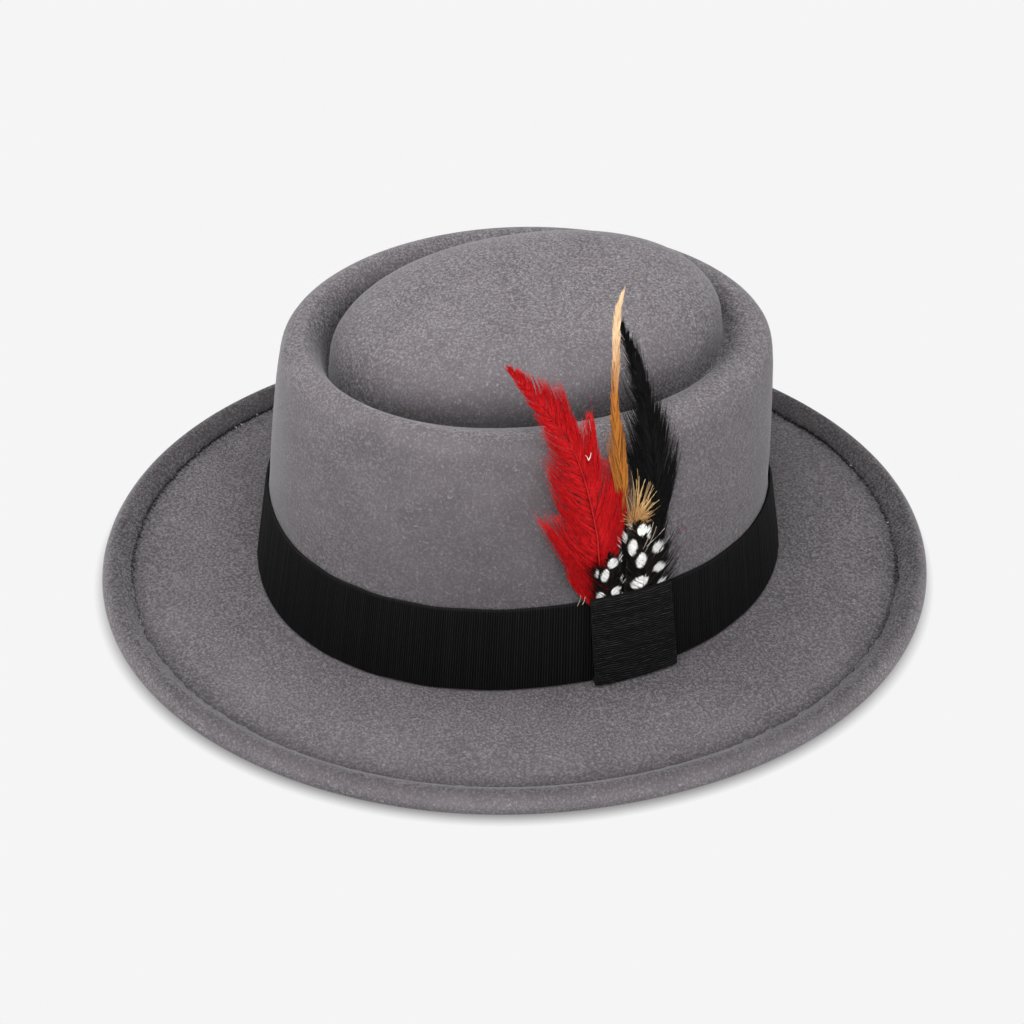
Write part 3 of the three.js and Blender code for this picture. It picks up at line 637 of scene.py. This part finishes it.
# Each row: shaft, left edge and right edge, each across and up, in thousandths of the height.
redTable = np.array([
    [0, 0, -7, 0, 7, 0], [4, 43, -4, 43, 12, 43], [-7, 122, -73, 117, 14, 122],
    [-14, 192, -123, 184, 29, 183], [-20, 258, -137, 268, 50, 293], [-25, 329, -173, 380, 69, 364],
    [-34, 391, -240, 460, 77, 433], [-43, 444, -116, 434, 67, 507], [-55, 507, -177, 502, 47, 603],
    [-69, 565, -190, 573, -11, 609], [-88, 631, -197, 653, -33, 797], [-112, 685, -183, 685, -77, 728],
    [-142, 738, -204, 752, -116, 818], [-183, 805, -238, 845, -132, 889], [-245, 898, -280, 925, -209, 934],
    [-313, 1000, -313, 1000, -313, 1000]]) / 1000
tanTable = np.array([
    [0, 0, -5, 0, 5, 0], [1, 141, -5, 141, 7, 141], [-6, 304, -12, 304, 1, 304],
    [-8, 402, -21, 412, 10, 404], [-13, 463, -36, 467, 5, 463], [-19, 509, -47, 511, 2, 529],
    [-24, 555, -60, 575, -2, 591], [-26, 616, -47, 616, -12, 638], [-27, 684, -37, 684, -18, 684],
    [-22, 768, -31, 775, -11, 768], [-14, 844, -23, 844, -3, 841], [-10, 912, -20, 916, 2, 912],
    [3, 962, -6, 966, 11, 966], [21, 1000, 21, 1000, 21, 1000]]) / 1000
blackTable = np.array([
    [0, 0, -6, 0, 6, 0], [8, 133, 2, 133, 15, 133], [11, 255, -13, 255, 37, 255],
    [17, 338, -29, 363, 53, 354], [19, 413, -35, 423, 61, 434], [19, 464, -50, 497, 87, 485],
    [17, 523, -65, 568, 88, 540], [12, 591, -56, 650, 63, 612], [3, 658, -46, 730, 51, 674],
    [-8, 726, -50, 796, 13, 755], [-24, 793, -58, 852, -13, 843], [-45, 856, -66, 902, -35, 906],
    [-62, 928, -72, 944, -52, 940], [-79, 1000, -79, 1000, -79, 1000]]) / 1000
spottedRightTable = np.array([
    [0, 0, -121, 0, 109, 0], [17, 114, -176, 114, 213, 114], [10, 275, -190, 333, 251, 333],
    [-10, 449, -190, 594, 220, 478], [-31, 623, -250, 928, 225, 703], [-43, 756, -175, 843, 111, 729],
    [-51, 855, -140, 1000, 97, 903], [-65, 1000, -65, 1000, -65, 1000]]) / 1000
spottedLeftTable = np.array([
    [0, 0, -112, 0, 105, 0], [22, 150, -160, 150, 130, 150], [6, 364, -211, 441, 120, 403],
    [-16, 556, -288, 824, 95, 674], [-38, 712, -141, 767, 65, 914],
    [-64, 1000, -64, 1000, -64, 1000]]) / 1000


def layerPlace(tuckedLayer, freeLayer):
    # How far a layer stands off, behind the tab and above it: one blade and one gap per layer.
    pitch = plume["blade"] + plume["bladeGap"]
    return (ribbon["gap"] + plume["blade"] / 2 + pitch * tuckedLayer, plume["blade"] + pitch * freeLayer)


def strandPoints(flat, lift, width, thick, across, layers):
    # Each strand is a thin three-sided rod along its path on the sheet: two edges and a raised back.
    step = np.gradient(flat, axis=1)
    step /= np.maximum(np.linalg.norm(step, axis=-1, keepdims=True), 1e-9)
    side = np.stack([-step[..., 1], step[..., 0]], -1) * width[..., None] / 2
    rods = np.stack([flat + side, flat, flat - side], 2)
    rise = np.stack([lift, lift + thick, lift], 2)
    return sheetPoints(rods[..., 0] + across, rods[..., 1] + plumeFoot, rise, *layers)


# Common to all feathers: steps along the shaft, the pull of tips together, a barb's start and taper,
# and the shaft's own rod.
barb = dict(
    steps=240, first=0.01, low=0.004, high=0.99, pulled=(0.3, 1), slopes=(0.85, 1.15), below=0.5,
    taper=0.8, taperPower=1.5, widths=(0.7, 1.2), wisp=0.4, lifts=(-0.25, 0.15), springLeast=-0.2,
    shaftSteps=40, shaftTop=0.985, shaftTip=0.18, shaftLift=0.12, shaftDeep=0.45, shaftChance=0.4)


def pathAt(at, marks, path):
    # The path's points between its marks, by straight lines.
    return np.stack([np.interp(at, marks, path[:, k]) for k in (0, 1)], 1)


def barbPaths(table, tall, side, spec):
    # Tips lie on the vane's outline, pulled together in clumps and drawn back at random; each
    # barb starts on the shaft below the nearest point by slope times its distance, and bows out.
    edge = table[:, 2 + side * 2:4 + side * 2] * tall
    run = np.concatenate([[0], np.cumsum(np.linalg.norm(np.diff(edge, axis=0), axis=1))])
    count = int(run[-1] / spec["spacing"])
    at = np.sort(rng.uniform(barb["first"], 1, count)) * run[-1]
    tips = pathAt(at, run, edge)
    clump = np.cumsum(rng.random(count) < spec["splits"])
    members = np.bincount(clump)
    middle = np.stack([np.bincount(clump, tips[:, k]) / members for k in (0, 1)], 1)[clump]
    tips += (middle - tips) * spec["clump"] * rng.uniform(*barb["pulled"], (count, 1))
    tips += rng.normal(0, spec["stray"], (count, 2))
    steps = barb["steps"]
    up = np.linspace(barb["low"], barb["high"], steps) * tall
    shaft = np.stack([np.interp(up, table[:, 1] * tall, table[:, 0] * tall), up], 1)
    far = np.linalg.norm(tips[:, None] - shaft[None], axis=2)
    near, reach = far.argmin(1), far.min(1)
    back = spec["slope"] * reach * rng.uniform(*barb["slopes"], count) + barb["below"]
    low = np.clip(near - back / (tall / steps), 0, steps - 1)
    base = pathAt(low, np.arange(steps), shaft)
    stretch = 1 - spec["inner"] * rng.random(count) ** 2
    stray = rng.random(count) < spec["wisps"]
    stretch[stray] = 1 + spec["wispOut"][side] * rng.random(stray.sum())
    tips = base + (tips - base) * stretch[:, None]
    span = tips - base
    bow = np.stack([-span[:, 1], span[:, 0]], 1) * spec["bow"] * (1 - 2 * side)
    u = np.linspace(0, 1, spec["length"])[None, :, None]
    bend = base + span * 0.5 + bow
    paths = base[:, None] * (1 - u) ** 2 + 2 * bend[:, None] * u * (1 - u) + tips[:, None] * u ** 2
    return paths, np.broadcast_to(u[..., 0], paths.shape[:2]), stray[:, None]


def sunk(spec, up):
    # How far the feather's lower part lies behind its own layer.
    rise = np.clip((up - spec["sinkFrom"]) / spec["sinkOver"], 0, 1)
    return spec["sink"] * (1 - eased(rise))


def buildFeather(node, table, spec, material, paint):
    # Both vanes' barbs, width * (1 - taper * u^power) wide at u along each, and the shaft, in one piece.
    tall = spec["tall"]
    across = spec["root"] * plume["spread"]
    layers = layerPlace(spec["tucked"], spec["free"])
    parts, faces, tints, total = [], [], [], 0
    for side in (0, 1):
        flat, u, stray = barbPaths(table, tall, side, spec)
        count = len(flat)
        width = spec["width"] * (1 - barb["taper"] * u ** barb["taperPower"])
        width = width * rng.uniform(*barb["widths"], (count, 1)) * np.where(stray, barb["wisp"], 1)
        lift = rng.uniform(*barb["lifts"], (count, 1))
        lift = lift + u ** 2 * rng.uniform(barb["springLeast"], spec["spring"], (count, 1))
        lift = lift - sunk(spec, flat[..., 1])
        points = strandPoints(flat, lift, width, spec["thick"], across, layers)
        tint = paint(flat, u, rng.random((count, 1)), side)
        parts.append(points.reshape(-1, 3))
        tints.append(np.repeat(tint[:, :, None, :], 3, 2).reshape(-1, 3))
        faces.append(rodFaces(count, spec["length"], 3, total))
        total += count * spec["length"] * 3
    steps = barb["shaftSteps"]
    up = np.linspace(0.0, barb["shaftTop"], steps) * tall
    shaft = np.stack([np.interp(up, table[:, 1] * tall, table[:, 0] * tall), up], 1)[None]
    width = np.linspace(spec["shaft"], barb["shaftTip"], steps)[None]
    points = strandPoints(shaft, barb["shaftLift"] - sunk(spec, up)[None], width,
                          spec["shaft"] * barb["shaftDeep"], across, layers)
    parts.append(points.reshape(-1, 3))
    if "shaftColour" in spec:
        tone = np.tile(spec["shaftColour"], (steps, 1))
    else:
        tone = paint(shaft, np.zeros((1, steps)), np.full((1, 1), barb["shaftChance"]), 0)[0]
    tints.append(np.repeat(tone, 3, 0))
    faces.append(rodFaces(1, steps, 3, total))
    addPiece(node + "_barbs", np.vstack(parts), [np.concatenate(group) for group in zip(*faces)], material,
             [node], tint=np.vstack(tints))


def featherMaterial(name, roughness, grainScale, grainDeep, specular):
    # The points' colour * (1 +- grainDeep) by a fine noise, which is also a slight bump.
    material, tree, shader = newMaterial(name, Roughness=roughness, Specular_IOR_Level=specular)
    place = addNode(tree, "TexCoord").outputs["Object"]
    grain = addNode(tree, "TexNoise", {"Vector": place, "Scale": grainScale, "Detail": 3.0}).outputs["Fac"]
    bright = addNode(tree, "MapRange", {
        "Value": grain, "From Min": 0.3, "From Max": 0.7, "To Min": 1 - grainDeep, "To Max": 1 + grainDeep})
    dress(tree, shader, tinted(tree, pointTint(tree), bright.outputs[0]), grain, 0.3, 0.0001)
    return material


# Millimetres: spacing and stray of the tips, width and thickness of a barb, spring off the sheet,
# shaft. Shares: splits, clump, inner, wisps and wispOut. The part below sinkFrom lies back by sink.
feather = dict(
    tucked=0, splits=0.06, length=8, width=0.55, thick=0.12, inner=0.75, sink=0, sinkFrom=0, sinkOver=1)
red = dict(
    feather, tall=112.3, root=-1, free=1, spacing=0.12, clump=0.38, stray=0.5, slope=1.9, bow=0.12,
    spring=1.2, shaft=0.95, wisps=0.12, wispOut=(0.14, 0.14), bright=linear(206, 22, 28),
    deep=linear(146, 5, 10), shaftColour=linear(200, 40, 42))


def paintRed(flat, u, chance, side):
    # Each barb has its own lightness, and all grow lighter towards their tips.
    return blend(red["deep"], red["bright"], np.clip(0.35 + 0.5 * chance + 0.15 * u, 0, 1)[..., None])


buildFeather("feather_red", redTable, red, featherMaterial("red dyed feather", 0.6, 900.0, 0.2, 0.15),
             paintRed)

tan = dict(
    feather, tall=131.1, root=-0.36, free=2, spacing=0.26, splits=0.1, clump=0.25, stray=0.2,
    slope=7.0, bow=0.02, inner=0.5, width=0.5, thick=0.1, spring=0.4, shaft=0.8, wisps=0.05,
    wispOut=(0.1, 0.1), sink=1.9, sinkFrom=49, sinkOver=7, paleFrom=0.7, paleOver=0.17,
    quillTop=47, quillOver=5, pale=linear(240, 206, 164), warm=linear(186, 118, 44),
    deep=linear(112, 62, 24), quillPaintedShade=linear(26, 20, 18))


def paintTan(flat, u, chance, side):
    # Warm below and pale at the tip, some barbs deeper; painted shade darkens the low part, below quillTop.
    high = np.clip((flat[..., 1] / tan["tall"] - tan["paleFrom"]) / tan["paleOver"], 0, 1)[..., None]
    deep = (np.clip(chance * 2.4 - 1.3, 0, 1) * (1 - 0.6 * high[..., 0]))[..., None]
    quillPaintedShade = np.clip((tan["quillTop"] - flat[..., 1]) / tan["quillOver"], 0, 1)[..., None]
    return blend(blend(blend(tan["warm"], tan["pale"], high), tan["deep"], deep), tan["quillPaintedShade"], quillPaintedShade)


buildFeather("feather_tan", tanTable, tan, featherMaterial("tan feather", 0.5, 700.0, 0.08, 0.25),
             paintTan)

black = dict(
    feather, tall=118.8, root=0.39, free=0, spacing=0.13, clump=0.35, stray=0.7, slope=3.4,
    bow=0.06, inner=0.6, spring=1.3, shaft=0.9, wisps=0.3, wispOut=(0.9, 0.25), dark=linear(9, 9, 9),
    grey=linear(24, 23, 24), shaftColour=linear(14, 13, 13))


def paintBlack(flat, u, chance, side):
    # Mostly dark barbs and a few grey ones: the share of grey is chance^2.
    return blend(black["dark"], black["grey"], np.clip(chance ** 2, 0, 1)[..., None] + 0 * u[..., None])


buildFeather("feather_black", blackTable, black, featherMaterial("black feather", 0.6, 900.0, 0.2, 0.12),
             paintBlack)

spotted = dict(
    feather, spacing=0.11, splits=0.07, clump=0.45, stray=0.4, slope=1.2, bow=0.1, length=12, width=0.68,
    thick=0.14, spring=0.9, shaft=0.8, wisps=0.2, wispOut=(0.55, 0.55), dotSize=1.22,
    dotEdge=7, dotFray=0.3, dark=linear(14, 12, 12), brown=linear(40, 31, 27), white=linear(252, 252, 250))
# White dots: across and up from the feather's root in millimetres, then half width and half height.
rightDots = np.array([
    [-6, 30.5, 1.6, 3.2], [-2, 23, 1.8, 3.2], [4.6, 27.7, 2, 2.2], [6, 17.2, 2, 1.8],
    [-1.7, 11.9, 3.1, 2.5], [-2.1, 37, 1.8, 2.2], [0.7, 35.5, 0.8, 2.5], [-9.4, 36.1, 0.7, 2.5],
    [-7, 41, 0.7, 2], [-11.4, 34.4, 0.6, 2], [8, 9.7, 1.6, 0.8]])
leftDots = np.array([
    [-0.2, 25.1, 1.8, 2.2], [-2.7, 19.5, 1.4, 2.8], [5.4, 17.6, 1.6, 3], [2.9, 10.2, 2, 2],
    [-3.7, 9.3, 1.4, 1.5], [-6.1, 21.3, 0.5, 2], [2.9, 27.8, 0.6, 1.8]])


def paintSpotted(dots):
    def paint(flat, u, chance, side):
        # White inside the nearest dot's oval, with a frayed edge; brown tells some dark barbs apart.
        apart = np.linalg.norm((flat[:, :, None, :] - dots[:, :2]) / dots[:, 2:], axis=-1).min(-1)
        frayed = spotted["dotFray"] * (chance - 0.5)
        inside = np.clip((spotted["dotSize"] - apart) * spotted["dotEdge"] + frayed, 0, 1)
        shade = (np.clip(chance * 1.8 - 0.9, 0, 1) + 0 * u)[..., None]
        return blend(blend(spotted["dark"], spotted["brown"], shade), spotted["white"], inside[..., None])
    return paint


material = featherMaterial("spotted feather", 0.6, 900.0, 0.1, 0.12)
for node, table, dots, tall, shift in (
        ("spotted_feather_right", spottedRightTable, rightDots, 41.4, 0.143),
        ("spotted_feather_left", spottedLeftTable, leftDots, 31.3, -0.82)):
    buildFeather(node, table, dict(spotted, tall=tall, root=shift, tucked=1, free=4), material,
                 paintSpotted(dots))

# Hair fan: lean to the right in radians against the longest hairs' reach.
tuft = dict(
    root=0.036, spikes=84, core=230, stems=36, length=9, fork=(-3, 38.3), width=0.36, thick=0.12,
    leans=[-0.8, -0.3, 0, 0.15, 0.55, 0.75, 1.3], reaches=[4.5, 9, 25, 20, 15.5, 13, 7.5],
    brown=linear(112, 72, 40), tan=linear(214, 160, 96), pale=linear(240, 212, 156))


def buildTuft(material):
    # Spikes and a short core spread from the fork, each by its own lean; stems run down to the root.
    m, spikes, stems = tuft["length"], tuft["spikes"], tuft["stems"]
    n = spikes + tuft["core"] + stems
    fork = np.array(tuft["fork"])
    long = np.arange(n) < spikes
    lean = np.where(long, np.clip(rng.normal(0.32, 0.4, n), -0.2, 1.3), rng.uniform(-1.1, 1.4, n))
    reach = np.where(long, np.interp(lean, tuft["leans"], tuft["reaches"]) * rng.uniform(0.45, 1.03, n),
                     rng.uniform(2.5, 9, n) * (1 - 0.25 * np.abs(lean)))
    start = fork + rng.normal(0, 0.8, (n, 2)) + [0, 0.6]
    ends = start + np.stack([np.sin(lean), np.cos(lean)], 1) * reach[:, None]
    start[-stems:] = rng.normal(0, 0.35, (stems, 2)) + [0, 1.2]
    ends[-stems:] = rng.normal(0, 0.5, (stems, 2)) + fork
    u = np.linspace(0, 1, m)
    curl = rng.normal(0, 0.35, (n, 1)) * u * (1 - u)
    flat = start[:, None] + (ends - start)[:, None] * u[:, None]
    flat[..., 0] += curl * reach[:, None] * 0.3 - 0.1 * (ends - start)[:, None, 0] * np.sin(u * np.pi)
    spring = np.where(np.arange(n) < n - stems, 1.5, 0)[:, None]
    lift = rng.uniform(-0.3, 0.5, (n, 1)) * np.minimum(spring, 1)
    lift = lift + u ** 2 * rng.uniform(-0.2, 1, (n, 1)) * spring
    width = tuft["width"] * rng.uniform(0.6, 1.15, (n, 1)) * (1 - 0.75 * u ** 1.3)
    across = tuft["root"] * plume["spread"]
    points = strandPoints(flat, lift, width, tuft["thick"], across, layerPlace(0, 3))
    chance = np.where(long, rng.random(n) ** 0.8, rng.uniform(0.3, 1, n))[:, None, None]
    high = (np.clip(u * 1.6 - 0.2, 0, 1)[None, :] * np.where(long, 0.8, 0.15)[:, None])[..., None] * chance
    tint = blend(blend(tuft["brown"], tuft["tan"], chance), tuft["pale"], high)
    addPiece("hair_tuft_strands", points, rodFaces(n, m, 3), material, ["hair_tuft"],
             tint=np.repeat(tint[:, :, None, :], 3, 2))


buildTuft(featherMaterial("tan hair", 0.55, 900.0, 0.2, 0.25))


# Loose bits: start and end across and up the sheet, layer, width, then a colour.
loose = [
    ([-23.4, 5.5], [-22.2, 10.5], 0, 0.22, (214, 196, 168)),
    ([-21.6, 5.8], [-20.6, 9.6], 0, 0.2, (230, 222, 206)),
    ([-19.8, 6], [-20.4, 10.2], 0, 0.16, (120, 96, 70)),
    ([17.6, 29.6], [18.8, 31], 0, 0.4, (176, 40, 60)),
    ([-20, 69.4], [-21.1, 71.8], 2, 0.42, (246, 236, 226)),
    ([-20, 69.4], [-18.9, 72.2], 2, 0.42, (246, 236, 226)),
    ([1.5, 29.5], [8.7, 35.7], 4, 0.26, (186, 180, 178)),
    ([4.4, 22.9], [11, 31.7], 4, 0.24, (170, 164, 162)),
    ([6.2, 18.2], [13.3, 25.8], 4, 0.22, (150, 144, 142)),
    ([0.2, 28.6], [4.2, 39.6], 4, 0.26, (206, 190, 170)),
    ([1.2, 27.2], [5.4, 37.4], 4, 0.22, (206, 190, 170))]


def buildLoose(material):
    # Bits with a slight bow, 0.7 above their layer and thinner to the end.
    rings = 6
    start, ends, layers, widths, colours = (np.array(column) for column in zip(*loose))
    u = np.linspace(0, 1, rings)
    flat = start[:, None] + (ends - start)[:, None] * u[:, None]
    flat[..., 0] += 0.25 * np.sin(u * np.pi)
    width = widths[:, None] * (1.05 - 0.6 * u)
    lift = np.full((1, rings), 0.7)
    points = np.concatenate([
        strandPoints(flat[k:k + 1], lift, width[k:k + 1], widths[k] * 0.6, 0, layerPlace(0, layers[k]))
        for k in range(len(loose))])
    tint = np.repeat(linear(*colours.T).T.reshape(-1, 1, 1, 3), rings, 1)
    addPiece("loose_hairs", points, rodFaces(len(loose), rings, 3), material,
             tint=np.repeat(tint, 3, 2))


buildLoose(bpy.data.materials["tan hair"])

# The floor glows evenly and is shaded only close to the hat; fill is the world's strength.
stage = dict(
    size=6.0, glow=0.913, shade=0.3, shadeReach=0.0049, shadeFrom=0.2, shadeTo=0.96, fill=0.31,
    aim=(0, 0, 0.06))
bpy.ops.mesh.primitive_plane_add(size=stage["size"], location=(0, 0, 0))
floor = bpy.context.object
floor.name = "studio_floor"
material, tree, shader = newMaterial("pale floor", Roughness=1.0, Specular_IOR_Level=0.0)
near = addNode(tree, "AmbientOcclusion", {"Distance": stage["shadeReach"]}, samples=6)
shaded = addNode(tree, "MapRange", {
    "Value": near.outputs["AO"], "From Min": stage["shadeFrom"], "From Max": stage["shadeTo"],
    "To Min": stage["shade"], "To Max": stage["glow"]})
shader.inputs["Base Color"].default_value = (0, 0, 0, 1)
shader.inputs["Emission Color"].default_value = (1, 1, 1, 1)
tree.links.new(shaded.outputs[0], shader.inputs["Emission Strength"])
floor.data.materials.append(material)

world = bpy.data.worlds.new("studio")
world.use_nodes = True
backdrop = world.node_tree.nodes["Background"]
backdrop.inputs["Color"].default_value = (1, 1, 1, 1)
backdrop.inputs["Strength"].default_value = stage["fill"]
scene.world = world

# Soft boxes: name, place in metres, side in metres, power in watts.
softBoxes = [
    ("topFront", (0.35, -0.1, 0.6), 0.35, 3.9),
    ("topLeft", (0.0, -0.4, 0.55), 0.35, 1.65),
    ("rightFront", (0.8, 1.3, 1.0), 1.0, 8.2)]
for name, place, side, power in softBoxes:
    data = bpy.data.lights.new(name, "AREA")
    data.energy = power
    data.size = side
    box = bpy.data.objects.new(name, data)
    box.location = place
    box.rotation_euler = (Vector(stage["aim"]) - box.location).to_track_quat("-Z", "Y").to_euler()
    scene.collection.objects.link(box)

view = dict(
    place=(0.8766, -0.217, 0.7006), right=(0.226, 0.974, 0.0165), up=(-0.5868, 0.1226, 0.8004),
    back=(0.7776, -0.1906, 0.5992), lens=99.29, sensor=36.0)
cameraData = bpy.data.cameras.new("camera")
cameraData.lens = view["lens"]
cameraData.sensor_width = view["sensor"]
camera = bpy.data.objects.new("camera", cameraData)
turn = Matrix([view["right"], view["up"], view["back"]]).transposed()
camera.matrix_world = Matrix.Translation(view["place"]) @ turn.to_4x4()
scene.collection.objects.link(camera)
bpy.context.scene.camera = camera
scene.view_settings.view_transform = "Standard"
scene.view_settings.look = "None"
